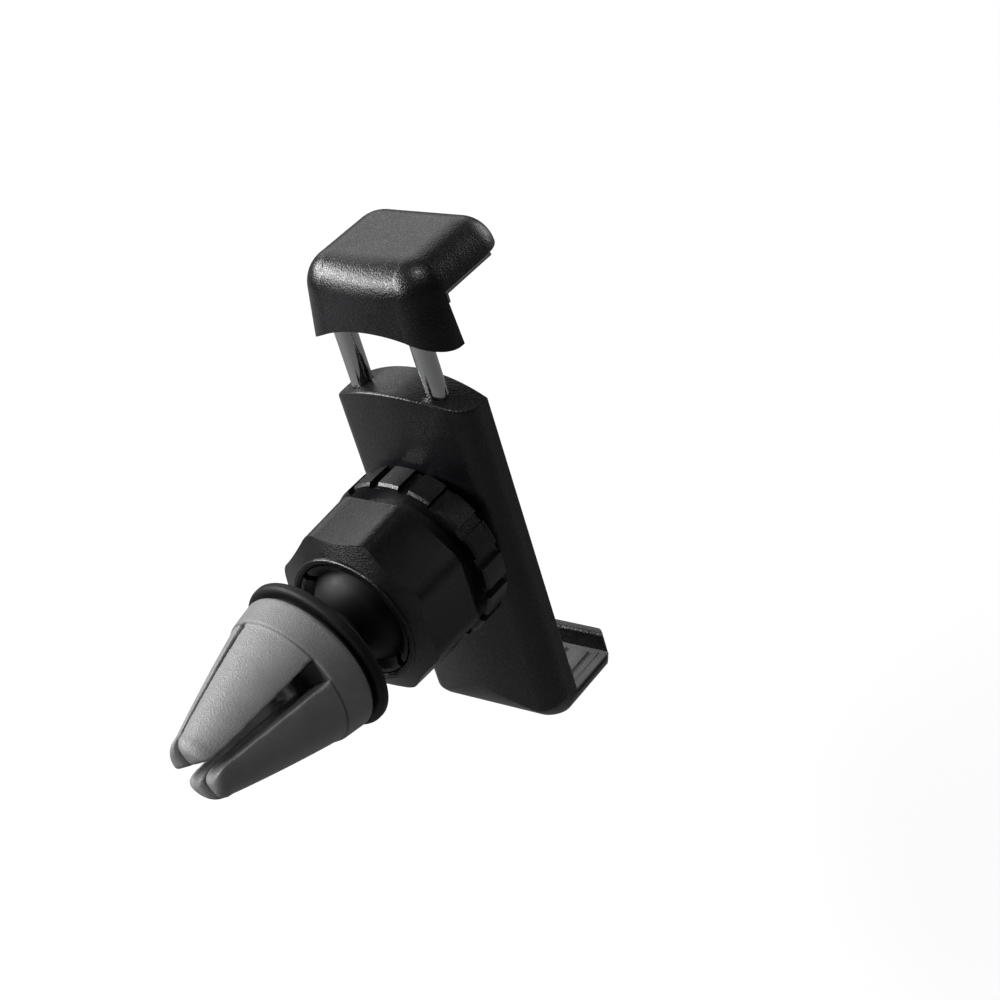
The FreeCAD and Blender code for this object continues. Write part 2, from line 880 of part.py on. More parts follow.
def finger_form(inset, low):
    """The four fingers before the slot parts them: a bulged cone with a round end."""
    top = finger_end - inset
    middle_height = (collar_end + finger_shoulder) / 2
    middle_radius = (finger_root_radius + finger_tip_radius) / 2 + finger_bulge
    slope = (finger_root_radius - finger_tip_radius) / (finger_shoulder - collar_end)
    below = finger_root_radius + slope * (collar_end - low) - inset
    root = Vector(below, 0, low)
    waist = Vector(middle_radius - inset, 0, middle_height)
    shoulder = Vector(finger_tip_radius - inset, 0, finger_shoulder)
    corner_middle = Vector(
        finger_end_radius + (finger_tip_radius - finger_end_radius) * 0.78 - inset,
        0,
        finger_shoulder + (top - finger_shoulder) * 0.7,
    )
    corner = Vector(max(finger_end_radius - inset, 0.5), 0, top)
    edges = [
        line(Vector(0, 0, low), root),
        arc(root, waist, shoulder),
        arc(shoulder, corner_middle, corner),
        line(corner, Vector(0, 0, top)),
        line(Vector(0, 0, top), Vector(0, 0, low)),
    ]
    return Part.Face(Part.Wire(edges)).revolve(Vector(0, 0, 0), Vector(0, 0, 1), 360)


def build_clip_core():
    ball = Part.makeSphere(ball_radius)
    neck = Part.makeCylinder(neck_radius, flange_back)
    rim_front = flange_back + flange_rim
    flange = Part.makeCylinder(flange_radius, flange_rim, Vector(0, 0, flange_back))
    flange = rounded(flange, flange_back_round, lambda e: abs(e.CenterOfMass.z - flange_back) < 1e-3)
    flange = rounded(flange, flange_front_round, lambda e: abs(e.CenterOfMass.z - rim_front) < 1e-3)
    step_low = rim_front - flange_back_round
    step = Part.makeCylinder(flange_step_radius, flange_front - step_low, Vector(0, 0, step_low))
    stud = fuse([ball, neck, flange, step])
    stud = rounded(
        stud,
        neck_round,
        lambda e: abs(e.CenterOfMass.z - flange_back) < 1e-3 and abs(e.Length - 2 * math.pi * neck_radius) < 0.1,
    )
    hub_radius = collar_front_radius - collar_wall - finger_fit
    hub = Part.makeCylinder(hub_radius, hub_top - flange_front + 0.1, Vector(0, 0, flange_front - 0.1))
    inset = finger_skin + finger_fit
    prongs = finger_form(inset, hub_top).cut(cross_slot(inset, hub_top - 1))
    return fuse([stud, hub] + prongs.Solids)


def build_clip_sleeve():
    collar = revolve([
        (0, flange_front),
        (collar_radius - collar_round, flange_front),
        (collar_radius - collar_round * 0.3, flange_front + collar_round * 0.3),
        (collar_radius, flange_front + collar_round),
        (collar_front_radius, collar_end - 0.15),
        (collar_front_radius - 0.2, collar_end),
        (0, collar_end),
    ])
    fingers = finger_form(0, collar_end - 1).cut(cross_slot(0, collar_end))
    hub_radius = collar_front_radius - collar_wall
    hub_room = Part.makeCylinder(hub_radius, hub_top - flange_front + 1, Vector(0, 0, flange_front - 1))
    pockets = finger_form(finger_skin, hub_top).cut(cross_slot(finger_skin, hub_top - 1))
    boss = Part.makeCylinder(slot_boss_radius, boss_height + 1, Vector(0, 0, collar_end - 1))
    sleeve = fuse([collar, fingers, boss])
    return cut(sleeve, [hub_room, pockets])


# Everything is built, moved to the row frame and written

clip_axis = Vector(
    -math.sin(math.radians(clip_swing)) * math.cos(math.radians(clip_tilt)),
    -math.cos(math.radians(clip_swing)) * math.cos(math.radians(clip_tilt)),
    -math.sin(math.radians(clip_tilt)),
)
ball_in_row = clip_axis * -grip_distance
holder_shift = ball_in_row - ball_centre


def place_clip(shape):
    """Turns the clip about its own axis, then points the fingers along the clip's axis."""
    turn = Rotation(Vector(0, 0, 1), clip_roll)
    aim = Rotation(Vector(0, -1, 0), clip_axis).multiply(Rotation(Vector(1, 0, 0), 90))
    placed = shape.copy()
    placed.Placement = Placement(ball_in_row, aim.multiply(turn))
    return placed


def place_holder(shape):
    placed = shape.copy()
    placed.translate(holder_shift)
    return placed


def build_all():
    form = body_form()
    front = Vector(0, 1, 0)
    up = Vector(0, 0, 1)
    rods = rod_places()
    cover_seats = [Vector(0, cover_seat_y, height) for height in cover_screw_heights]
    socket_seats = [Vector(x, back_y + wall, z) for x, z in socket_screw_places()]
    jaw_seats = [
        Vector(sx * jaw_screw_x, jaw_screw_y, jaw_screw_seat) for sx in (-1, 1)
    ]
    holder = {
        "back_shell": build_back_shell(form),
        "front_cover": build_front_cover(),
        "front_pad": build_front_pad(),
        "hook_pad": build_hook_pad(),
        "ball_socket": build_ball_socket(form),
        "cover_screws": [turned(screw(cover_screw_length), front, seat) for seat in cover_seats],
        "socket_screws": [turned(screw(socket_screw_length), front, seat) for seat in socket_seats],
        "lock_nut": to_holder(build_lock_nut()),
        "friction_cup": to_holder(build_friction_cup()),
        "jaw_shell": build_jaw_shell(),
        "jaw_plate": build_jaw_plate(),
        "jaw_liner": build_jaw_liner(),
        "jaw_screws": [turned(screw(jaw_screw_length), up * -1, seat) for seat in jaw_seats],
        "rod_left": build_rod(rods[0]),
        "rod_right": build_rod(rods[1]),
        "rod_clips": [build_rod_clip(place) for place in rods],
        "spring_washers": [build_washer(place) for place in rods],
        "spring_left": build_spring(rods[0]),
        "spring_right": build_spring(rods[1]),
    }
    clip = {
        "clip_core": build_clip_core(),
        "clip_sleeve": build_clip_sleeve(),
    }
    for name, shape in holder.items():
        if isinstance(shape, list):
            shape = Part.makeCompound(shape)
        yield name, place_holder(shape)
    for name, shape in clip.items():
        yield name, place_clip(shape)


for name, shape in build_all():
    shape.exportStep(f"parts/{name}.step")
    print(name, len(shape.Solids), "solids", round(shape.Volume, 1), "mm3", shape.isValid())
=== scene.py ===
# %% [markdown]
# # Air vent phone holder
# A holder for a car's air vent. A jaw slides on two chromed rods over a body with a hook,
# and springs pull it shut on what it holds. Behind the body a ball joint with a lock nut
# carries a clip with four rubber fingers, which grips one blade of the vent.
# Every CAD node arrives in metres and in its real place, so most hard parts only need their
# finish here. The body also gets a softer heel, and the springs are copied. The soft
# parts are modelled again, with the rounding that moulded rubber has.

import bmesh
import bpy
import math
from mathutils import Matrix, Vector
from mathutils.bvhtree import BVHTree
from mathutils.interpolate import poly_3d_calc


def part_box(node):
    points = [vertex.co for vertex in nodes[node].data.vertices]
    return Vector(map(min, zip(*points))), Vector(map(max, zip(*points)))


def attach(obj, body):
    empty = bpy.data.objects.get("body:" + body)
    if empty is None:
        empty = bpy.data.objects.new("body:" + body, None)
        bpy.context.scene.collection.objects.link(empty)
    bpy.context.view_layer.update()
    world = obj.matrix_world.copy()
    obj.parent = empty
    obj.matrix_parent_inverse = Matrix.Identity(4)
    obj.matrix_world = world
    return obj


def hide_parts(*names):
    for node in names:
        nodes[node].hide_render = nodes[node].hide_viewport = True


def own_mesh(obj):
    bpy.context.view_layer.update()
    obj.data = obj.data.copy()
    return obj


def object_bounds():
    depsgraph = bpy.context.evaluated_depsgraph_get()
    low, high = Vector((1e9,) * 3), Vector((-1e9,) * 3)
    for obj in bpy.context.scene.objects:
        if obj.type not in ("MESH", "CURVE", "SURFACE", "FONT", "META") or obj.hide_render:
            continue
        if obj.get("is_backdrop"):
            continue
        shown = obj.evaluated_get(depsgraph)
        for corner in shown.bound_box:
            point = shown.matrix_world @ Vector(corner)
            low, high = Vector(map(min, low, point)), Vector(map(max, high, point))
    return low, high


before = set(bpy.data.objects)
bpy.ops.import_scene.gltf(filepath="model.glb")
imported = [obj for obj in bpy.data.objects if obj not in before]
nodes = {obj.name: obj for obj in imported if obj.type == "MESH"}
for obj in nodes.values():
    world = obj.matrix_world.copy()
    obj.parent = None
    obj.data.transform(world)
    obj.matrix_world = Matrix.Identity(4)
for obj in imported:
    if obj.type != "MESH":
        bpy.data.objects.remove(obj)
cad_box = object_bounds()

# %% [markdown]
# The holder was drawn in millimetres about the middle of its front face, and the clip about
# the centre of its ball. Sizes are easiest to think of there, so two matrices turn such
# places into the frame's metres.

# %% Places
MM = 0.001
CLIP_SWING = math.radians(4.3)
CLIP_TILT = math.radians(2.7)
CLIP_ROLL = math.radians(28.5)
GRIP_DISTANCE = 27.0
BALL_IN_HOLDER = Vector((0.0, -21.0, -3.6))

clip_axis = Vector((
    -math.sin(CLIP_SWING) * math.cos(CLIP_TILT),
    -math.cos(CLIP_SWING) * math.cos(CLIP_TILT),
    -math.sin(CLIP_TILT),
))
ball = clip_axis * -GRIP_DISTANCE
to_metres = Matrix.Scale(MM, 4)
holder_place = to_metres @ Matrix.Translation(ball - BALL_IN_HOLDER)
aim = Vector((0, -1, 0)).rotation_difference(clip_axis).to_matrix().to_4x4()
lay_down = Matrix.Rotation(math.radians(90), 4, "X")
roll = Matrix.Rotation(CLIP_ROLL, 4, "Z")
clip_place = to_metres @ Matrix.Translation(ball) @ aim @ lay_down @ roll
print("ball centre, mm:", [round(v, 3) for v in ball])

# %% [markdown]
# The camera stands behind the holder and to one side of it, looks down on it through a long
# lens, and is rolled a little.

# %% Camera
camera_data = bpy.data.cameras.new("camera")
camera = bpy.data.objects.new("camera", camera_data)
bpy.context.scene.collection.objects.link(camera)
bpy.context.scene.camera = camera
camera_data.sensor_width = 36.0
camera_data.lens = 79.155
camera_data.clip_start = 0.02
camera_data.clip_end = 20.0
CAMERA_PLACE = Vector((192.28, -188.16, 163.56))
right = Vector((0.79216, 0.55529, -0.25324))
down = Vector((0.13979, -0.56899, -0.81037))
ahead = Vector((-0.59409, 0.60655, -0.52836))
turn = Matrix((right, -down, -ahead)).transposed().to_4x4()
camera.matrix_world = Matrix.Translation(holder_place @ CAMERA_PLACE) @ turn
print("camera at, m:", [round(v, 3) for v in camera.matrix_world.translation])

# %% [markdown]
# A modeller keeps one piece selected at a time. These helpers do the same: they make one
# piece the active one, and pick its edges or faces by where they lie and which way they
# point, because there is no mouse here to click on them.

# %% Selecting
KINDS = {"EDGE": "edges", "FACE": "faces"}


def only(piece):
    """Makes a piece the only selected one, and the one that operators act on."""
    bpy.ops.object.select_all(action="DESELECT")
    piece.select_set(True)
    bpy.context.view_layer.objects.active = piece
    return piece


def pick(kind, test):
    """In edit mode, selects the faces or edges whose middle and direction pass a test."""
    bpy.ops.mesh.select_mode(type=kind)
    bpy.ops.mesh.select_all(action="DESELECT")
    mesh = bmesh.from_edit_mesh(bpy.context.object.data)
    mesh.normal_update()
    chosen = 0
    for part in getattr(mesh, KINDS[kind]):
        corners = [vertex.co for vertex in part.verts]
        middle = sum(corners, Vector()) / len(corners)
        if kind == "FACE":
            direction = part.normal
        else:
            direction = (corners[1] - corners[0]).normalized()
        if test(middle, direction):
            part.select_set(True)
            chosen += 1
    mesh.select_flush_mode()
    bmesh.update_edit_mesh(bpy.context.object.data)
    return chosen


def edit():
    """Opens the active piece in edit mode."""
    bpy.ops.object.mode_set(mode="EDIT")


def leave():
    """Goes back to object mode."""
    bpy.ops.object.mode_set(mode="OBJECT")


def use(piece, kind, **settings):
    """Adds a modifier to a piece and applies it at once."""
    only(piece)
    modifier = piece.modifiers.new(kind.lower(), kind)
    for name, value in settings.items():
        setattr(modifier, name, value)
    bpy.ops.object.modifier_apply(modifier=modifier.name)


def copy_of(piece):
    """A copy of a piece with its own mesh."""
    copy = piece.copy()
    copy.data = piece.data.copy()
    bpy.context.scene.collection.objects.link(copy)
    return copy


def triangles(piece):
    return sum(len(face.vertices) - 2 for face in piece.data.polygons)


def settle(piece, name, place, body, slot, *solids):
    """Puts a finished piece in the frame, and says what it rides on and stands for."""
    piece.name = name
    piece.data.name = name
    piece.matrix_world = place @ piece.matrix_world
    only(piece)
    bpy.ops.object.transform_apply(location=True, rotation=True, scale=True)
    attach(piece, body)
    if solids:
        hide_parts(*solids)
    size = [round(length / MM, 1) for length in piece.dimensions]
    print(name, "on", body, size, "mm,", triangles(piece), "triangles")


# %% [markdown]
# ## The rubber clip
# Four fingers of grey rubber stand on a collar. A wide slot and a narrow one part them, for
# a thick blade and a thin one. A finger is a disc pulled up in steps and made smaller, cut
# along the two slots, and then pulled up a little more while it shrinks towards a place in
# its own middle, which rounds its tip like a thumb.

# %% One finger
HUB_TOP = 17.6
COLLAR_END = 18.5
ROOT_RADIUS = 10.3
TIP_RADIUS = 5.2
SHOULDER = 35.2
FINGER_END = 37.3
BULGE = 0.15
GROOVE = 0.25
SKIN = 1.0
ROOM_BELOW = 0.5
STEPS = 12
TIP_STEPS = 6
TIP_SIZE = 0.25
# The share of a step by which the tip's round stops short of a full quarter
TIP_LEFT = 0.6
TIP_CENTRE = 1.7
SIDES = 96
# A slot's half width at the root and at the tips, and its shift to one side at the root
NARROW = (0.65, 0.25, 0.8)
WIDE = (1.8, 0.65, 0.3)


def finger_radius(height):
    """The clip's radius over the fingers at a height, a cone with a slight bulge."""
    share = (height - COLLAR_END) / (SHOULDER - COLLAR_END)
    swell = BULGE * 4 * share * (1 - share) if share > 0 else 0.0
    return ROOT_RADIUS + (TIP_RADIUS - ROOT_RADIUS) * share + swell


def slot_side(slot, flank, skin, height):
    """How far one side of a slot lies from the clip's axis at a height."""
    root, tip, shift = slot
    share = (FINGER_END - height) / (FINGER_END - COLLAR_END)
    return shift * share + flank * (tip + (root - tip) * share + skin)


def pull_up(rise, factor, centre):
    """One step of a finger: extrudes what is selected and makes it smaller about a point."""
    bpy.ops.mesh.extrude_region_move(TRANSFORM_OT_translate={"value": (0, 0, rise)})
    bpy.ops.transform.resize(value=(factor, factor, 1), center_override=centre)


def finger(skin, low, flank_x, flank_y, groove, inwards):
    """A finger, or the room inside it at a skin's depth, from a height up."""
    start = finger_radius(low) - skin - groove
    bpy.ops.object.select_all(action="DESELECT")
    bpy.ops.mesh.primitive_circle_add(
        vertices=SIDES, radius=start, fill_type="NGON", location=(0, 0, low)
    )
    piece = bpy.context.object
    bpy.ops.object.transform_apply(location=True)
    edit()
    bpy.ops.mesh.select_all(action="SELECT")
    lip = COLLAR_END + GROOVE
    pull_up(lip - low, 1.0, (0, 0, lip))
    height, radius = lip, start
    rises = [GROOVE] + [(SHOULDER - lip - GROOVE) / STEPS] * STEPS
    for rise in rises:
        height += rise
        wanted = finger_radius(height) - skin
        pull_up(rise, wanted / radius, (0, 0, height))
        radius = wanted
    corner = []
    for axis, slot, flank in ((0, NARROW, flank_x), (1, WIDE, flank_y)):
        below, above = (slot_side(slot, flank, skin, z) for z in (low, SHOULDER))
        point, across = [0, 0, low], [0, 0, -flank * (above - below)]
        point[axis], across[axis] = below, flank * (SHOULDER - low)
        bpy.ops.mesh.select_all(action="SELECT")
        across = Vector(across).normalized()
        bpy.ops.mesh.bisect(plane_co=point, plane_no=across, use_fill=True, clear_inner=True)
        corner.append(above + flank * inwards)
    pick("FACE", lambda m, n: m.z > SHOULDER - 0.01 and n.z > 0.9)
    tip_room = FINGER_END - skin - SHOULDER
    size = 1.0
    for i in range(TIP_STEPS):
        before, angle = (math.radians(90) * j / (TIP_STEPS + TIP_LEFT) for j in (i, i + 1))
        climb = tip_room * (math.sin(angle) - math.sin(before))
        wanted = TIP_SIZE + (1 - TIP_SIZE) * math.cos(angle)
        height += climb
        pull_up(climb, wanted / size, (corner[0], corner[1], height))
        size = wanted
    bpy.ops.mesh.select_all(action="SELECT")
    bpy.ops.mesh.normals_make_consistent(inside=False)
    leave()
    return piece


def hollow_finger(flank_x, flank_y):
    """A finger with the room for the core's prong cut out of it."""
    outside = finger(0.0, HUB_TOP, flank_x, flank_y, GROOVE, TIP_CENTRE)
    room = finger(SKIN, HUB_TOP - ROOM_BELOW, flank_x, flank_y, 0.0, 0.0)
    use(outside, "BOOLEAN", operation="DIFFERENCE", object=room)
    bpy.data.objects.remove(room)
    return outside


fingers = [hollow_finger(x, y) for x, y in ((1, 1), (-1, 1), (-1, -1), (1, -1))]
print("fingers:", [triangles(piece) for piece in fingers], "triangles")

# %% [markdown]
# The collar is a ring: a circle pulled up in steps for its wall, then turned inwards and
# down again. A floor with a low boss closes it between the fingers. All of them overlap, so
# they are joined and remeshed as one skin. The remesh and a few rounds of smoothing leave
# every edge with the soft rounding of moulded rubber, and more rounds soften the slots'
# roots and the fingers' tips.

# %% The sleeve
COLLAR_OUTLINE = (
    (10.6, 13.9),
    (10.97, 14.08),
    (11.15, 14.5),
    (10.55, 18.35),
    (10.45, 18.5),
    (8.65, 18.5),
    (8.65, 13.9),
)
FLOOR_RADIUS = 10.0
BOSS_RADIUS = 3.6
BOSS_HEIGHT = 1.4
BOSS_ROUND = 0.3
SLEEVE_VOXEL = 0.2
# Heights between which the slots' roots are softened, and how far out that starts
ROOT_LOW = 18.1
ROOT_HIGH = 20.2
ROOT_INNER = 4.4
TIP_DEPTH = 0.6


def turned_ring(corners):
    """A closed ring whose section is a list of radii and heights, spun about Z."""
    bpy.ops.object.select_all(action="DESELECT")
    radius, height = corners[0]
    bpy.ops.mesh.primitive_circle_add(vertices=SIDES, radius=radius, location=(0, 0, height))
    piece = bpy.context.object
    bpy.ops.object.transform_apply(location=True)
    edit()
    bpy.ops.mesh.select_mode(type="EDGE")
    bpy.ops.mesh.select_all(action="SELECT")
    for next_radius, next_height in corners[1:] + corners[:1]:
        rise = (0, 0, next_height - height)
        bpy.ops.mesh.extrude_edges_move(TRANSFORM_OT_translate={"value": rise})
        factor = next_radius / radius
        bpy.ops.transform.resize(value=(factor, factor, 1), center_override=(0, 0, next_height))
        radius, height = next_radius, next_height
    bpy.ops.mesh.select_all(action="SELECT")
    bpy.ops.mesh.remove_doubles(threshold=0.001)
    bpy.ops.mesh.normals_make_consistent(inside=False)
    leave()
    return piece


def floor_with_boss():
    """The disc between the fingers' roots, with a low boss in its middle."""
    bpy.ops.object.select_all(action="DESELECT")
    bpy.ops.mesh.primitive_circle_add(
        vertices=SIDES, radius=FLOOR_RADIUS, fill_type="NGON", location=(0, 0, HUB_TOP)
    )
    piece = bpy.context.object
    bpy.ops.object.transform_apply(location=True)
    edit()
    bpy.ops.mesh.select_all(action="SELECT")
    pull_up(COLLAR_END - HUB_TOP, 1.0, (0, 0, COLLAR_END))
    bpy.ops.mesh.inset(thickness=FLOOR_RADIUS - BOSS_RADIUS)
    pull_up(BOSS_HEIGHT - BOSS_ROUND, 0.97, (0, 0, 0))
    pull_up(BOSS_ROUND, 0.9, (0, 0, 0))
    bpy.ops.mesh.select_all(action="SELECT")
    bpy.ops.mesh.normals_make_consistent(inside=False)
    leave()
    return piece


def is_soft(middle, direction):
    """Whether a face lies where the slots end in the collar, or on a finger's tip."""
    near_slot = abs(middle.x) < WIDE[0] + 1 or abs(middle.y) < WIDE[0] + 1
    at_root = ROOT_LOW < middle.z < ROOT_HIGH and math.hypot(middle.x, middle.y) > ROOT_INNER
    return near_slot and at_root or middle.z > SHOULDER - TIP_DEPTH


collar = turned_ring(COLLAR_OUTLINE)
base = floor_with_boss()
only(collar)
for piece in fingers + [base]:
    piece.select_set(True)
bpy.ops.object.join()
sleeve = bpy.context.object
use(sleeve, "REMESH", mode="VOXEL", voxel_size=SLEEVE_VOXEL)
use(sleeve, "SMOOTH", factor=0.5, iterations=3)
only(sleeve)
edit()
pick("FACE", is_soft)
bpy.ops.object.vertex_group_add()
bpy.ops.object.vertex_group_assign()
leave()
use(sleeve, "SMOOTH", factor=0.5, iterations=12, vertex_group=sleeve.vertex_groups[0].name)
bpy.ops.object.shade_smooth()
settle(sleeve, "vent_sleeve", clip_place, "clip", "sleeve", "clip_sleeve")

# %% [markdown]
# ## The soft liners
# Thin rubber liners lie in the jaw and in the hook, where the edges of what is held rest,
# and a ribbed pad lies on the body's front. Each starts as a block. Cuts part its face into
# strips, every other strip is pulled up into a rib, and a bevel softens all edges.

# %% Liners
HALF_GRIP = 33.55
LIP_INNER = 8.7
LINER_SKIN = 0.45
RIB_HALF = 9.9
RIB_COUNT = 5
RIB_RISE = 0.35
BLOCK_MARGIN = 0.6
RIB_MARGIN = 1.2


def block(low, high):
    """A block between two corners, the start of a liner."""
    bpy.ops.object.select_all(action="DESELECT")
    middle = [(a + b) / 2 for a, b in zip(low, high)]
    size = [b - a for a, b in zip(low, high)]
    bpy.ops.mesh.primitive_cube_add(size=1, location=middle)
    piece = bpy.context.object
    piece.scale = size
    bpy.ops.object.transform_apply(location=True, scale=True)
    return piece


def cut_across(axis, places):
    """Cuts a piece through at several places along an axis."""
    plane = [0, 0, 0]
    plane[axis] = 1
    for place in places:
        bpy.ops.mesh.select_all(action="SELECT")
        point = [0, 0, 0]
        point[axis] = place
        bpy.ops.mesh.bisect(plane_co=point, plane_no=plane)


def pull_out(test, move):
    """Selects faces by a test and extrudes them."""
    pick("FACE", test)
    bpy.ops.mesh.extrude_region_move(TRANSFORM_OT_translate={"value": move})


def finish_block(piece, width, segments):
    """Turns a block's faces outwards, and takes the sharpness off its edges."""
    bpy.ops.mesh.select_all(action="SELECT")
    bpy.ops.mesh.normals_make_consistent(inside=False)
    leave()
    sharp = math.radians(40)
    use(piece, "BEVEL", width=width, segments=segments, limit_method="ANGLE", angle_limit=sharp)
    bpy.ops.object.shade_smooth_by_angle(angle=math.radians(35))
    return piece


def strips(half, count):
    """Borders of evenly spread ribs over a width, each rib half of its pitch wide."""
    pitch = 2 * half / count
    return [
        (-half + pitch * (i + 0.25), -half + pitch * (i + 0.75)) for i in range(count)
    ]


def liner(sign, back, leg_length, rise, side):
    """An L-shaped liner with a raised, ribbed block: sign is +1 for the hook, -1 for the jaw."""
    seat = -sign * (HALF_GRIP + LINER_SKIN + rise)
    low_z, high_z = sorted((seat, seat + sign * LINER_SKIN))
    piece = block((-side, back, low_z), (side, LIP_INNER, high_z))
    edit()
    bars = strips(RIB_HALF, RIB_COUNT)
    edge = RIB_HALF + 0.5
    cut_across(0, [-edge] + [x for bar in bars for x in bar] + [edge])
    fronts = [LIP_INNER - RIB_MARGIN, LIP_INNER - BLOCK_MARGIN]
    cut_across(1, [back + LINER_SKIN, BLOCK_MARGIN, RIB_MARGIN] + fronts)

    def facing(normal):
        return normal.z * sign > 0.9

    def on_block(middle):
        return abs(middle.x) < edge and BLOCK_MARGIN < middle.y < LIP_INNER - BLOCK_MARGIN

    def on_rib(middle):
        inside = RIB_MARGIN < middle.y < LIP_INNER - RIB_MARGIN
        return inside and any(a < middle.x < b for a, b in bars)

    leg = (0, 0, sign * (leg_length - LINER_SKIN))
    pull_out(lambda m, n: facing(n) and m.y < back + LINER_SKIN, leg)
    pull_out(lambda m, n: facing(n) and on_block(m), (0, 0, sign * (rise - RIB_RISE)))
    pull_out(lambda m, n: facing(n) and on_rib(m), (0, 0, sign * RIB_RISE))
    return finish_block(piece, width=0.12, segments=3)


hook_liner = liner(1, back=-0.5, leg_length=4.9, rise=0.45, side=11.7)
settle(hook_liner, "hook_liner", holder_place, "holder", "liner", "hook_pad")
jaw_pad = liner(-1, back=-1.9, leg_length=1.7, rise=1.2, side=11.75)
settle(jaw_pad, "jaw_pad", holder_place, "jaw", "liner", "jaw_liner")

# %% The pad on the front
PAD_SIDE = 8.95
PAD_LOW = -24.95
PAD_HIGH = 12.95
PAD_BACK = -0.8
PAD_FACE = -0.25
PAD_RIBS = 7
PAD_RIB_SIDE = 7.5
PAD_RIB_SHARE = 0.54
PAD_CORNER = 3.0

back_pad = block((-PAD_SIDE, PAD_BACK, PAD_LOW), (PAD_SIDE, PAD_FACE, PAD_HIGH))
edit()
pick("EDGE", lambda m, d: abs(d.y) > 0.9)
bpy.ops.mesh.bevel(offset=PAD_CORNER, segments=6, affect="EDGES")
pitch = (PAD_HIGH - PAD_LOW - 2 * PAD_CORNER) / PAD_RIBS
half_rib = PAD_RIB_SHARE * pitch / 2
rib_middles = [(PAD_LOW + PAD_HIGH) / 2 + (i - (PAD_RIBS - 1) / 2) * pitch for i in range(PAD_RIBS)]
ribs = [(middle - half_rib, middle + half_rib) for middle in rib_middles]
cut_across(2, [z for rib in ribs for z in rib])
cut_across(0, [-PAD_RIB_SIDE, PAD_RIB_SIDE])
pull_out(
    lambda m, n: n.y > 0.9 and abs(m.x) < PAD_RIB_SIDE and any(a < m.z < b for a, b in ribs),
    (0, -PAD_FACE, 0),
)
finish_block(back_pad, width=0.1, segments=2)
settle(back_pad, "back_pad", holder_place, "holder", "liner", "front_pad")

# %% [markdown]
# ## The body's heel
# The CAD body has a round heel, but its sides run into that round at a sharp edge, where
# the real moulding is soft all the way from its back to its toe. A copy of the body is
# trimmed here by a block whose own lower edges were bevelled, which leaves that soft edge.
# Bevelling the copy itself would be harder, because its faces are long thin triangles.

# %% The block that trims the body
HEEL_ROUND = 8.5
TOE_ROUND = 4.0
EDGE_ROUND = 4.0
SLACK = 0.03

body_low, body_high = [
    holder_place.inverted() @ Vector(corner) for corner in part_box("back_shell")
]
print("body from", [round(v, 2) for v in body_low], "to", [round(v, 2) for v in body_high])
slack = Vector((SLACK, SLACK, SLACK))
headroom = Vector((0, 0, 5))
trim_low = body_low - slack
trim_high = body_high + slack
trim = block(trim_low, trim_high + headroom)


def is_low_edge(middle, direction):
    return abs(direction.x) > 0.9 and middle.z < trim_low.z + 0.1


edit()
pick("EDGE", lambda m, d: is_low_edge(m, d) and m.y < trim_low.y + 0.1)
bpy.ops.mesh.bevel(offset=HEEL_ROUND, segments=16, affect="EDGES")
pick("EDGE", lambda m, d: is_low_edge(m, d) and m.y > trim_high.y - 0.1)
bpy.ops.mesh.bevel(offset=TOE_ROUND, segments=16, affect="EDGES")
around = pick("EDGE", lambda m, d: abs(abs(m.x) - trim_high.x) < 0.001 and m.z < body_high.z)
bpy.ops.mesh.bevel(offset=EDGE_ROUND, segments=12, affect="EDGES")
bpy.ops.mesh.select_all(action="SELECT")
bpy.ops.mesh.normals_make_consistent(inside=False)
leave()
trim.matrix_world = holder_place
bpy.context.view_layer.update()
print("edges bevelled round the sides:", around)

# %% [markdown]
# The trim splits the body's faces anew, and a bowed face that is split another way shades
# in streaks. So each corner that still lies on the CAD surface gets back the direction that
# the CAD mesh had there.

# %% The trimmed body
NEAR = 0.004
SAME_WAY = 0.995


def merge(piece, distance):
    """Opens a piece for editing and merges its doubles, closer than some millimetres."""
    only(piece)
    edit()
    bpy.ops.mesh.select_all(action="SELECT")
    bpy.ops.mesh.remove_doubles(threshold=distance * MM)


def cad_copy(node):
    """A copy of a CAD node as one merged skin, with no finish yet."""
    copy = copy_of(nodes[node])
    copy.data.materials.clear()
    merge(copy, 0.0005)
    leave()
    return copy


def keep_normals(mesh, cad):
    """Gives the faces that the trim left alone the smooth normals of the CAD surface."""
    tree = BVHTree.FromPolygons([v.co for v in cad.vertices], [f.vertices for f in cad.polygons])
    normals = [corner.vector.copy() for corner in mesh.corner_normals]
    kept = 0
    for face in mesh.polygons:
        for corner in face.loop_indices:
            place = mesh.vertices[mesh.loops[corner].vertex_index].co
            found = tree.find_nearest_range(place, NEAR * MM)
            found = [(face.normal.dot(normal), index) for _, normal, index, _ in found]
            if not found or max(found)[0] < SAME_WAY:
                continue
            source = cad.polygons[max(found)[1]]
            shares = poly_3d_calc([cad.vertices[i].co for i in source.vertices], place)
            pairs = zip(source.loop_indices, shares)
            blend = [cad.corner_normals[i].vector * share for i, share in pairs]
            normals[corner] = sum(blend, Vector()).normalized()
            kept += 1
    mesh.normals_split_custom_set(normals)
    print("normals kept at", kept, "of", len(normals), "corners")


body_shell = cad_copy("back_shell")
use(body_shell, "BOOLEAN", operation="INTERSECT", object=trim, solver="EXACT")
bpy.data.objects.remove(trim)
merge(body_shell, 0.002)
bpy.ops.mesh.dissolve_limited(angle_limit=math.radians(0.6))
leave()
bpy.ops.object.shade_smooth_by_angle(angle=math.radians(28))
keep_normals(body_shell.data, nodes["back_shell"].data)
settle(body_shell, "body_shell", Matrix(), "holder", "shell", "back_shell")
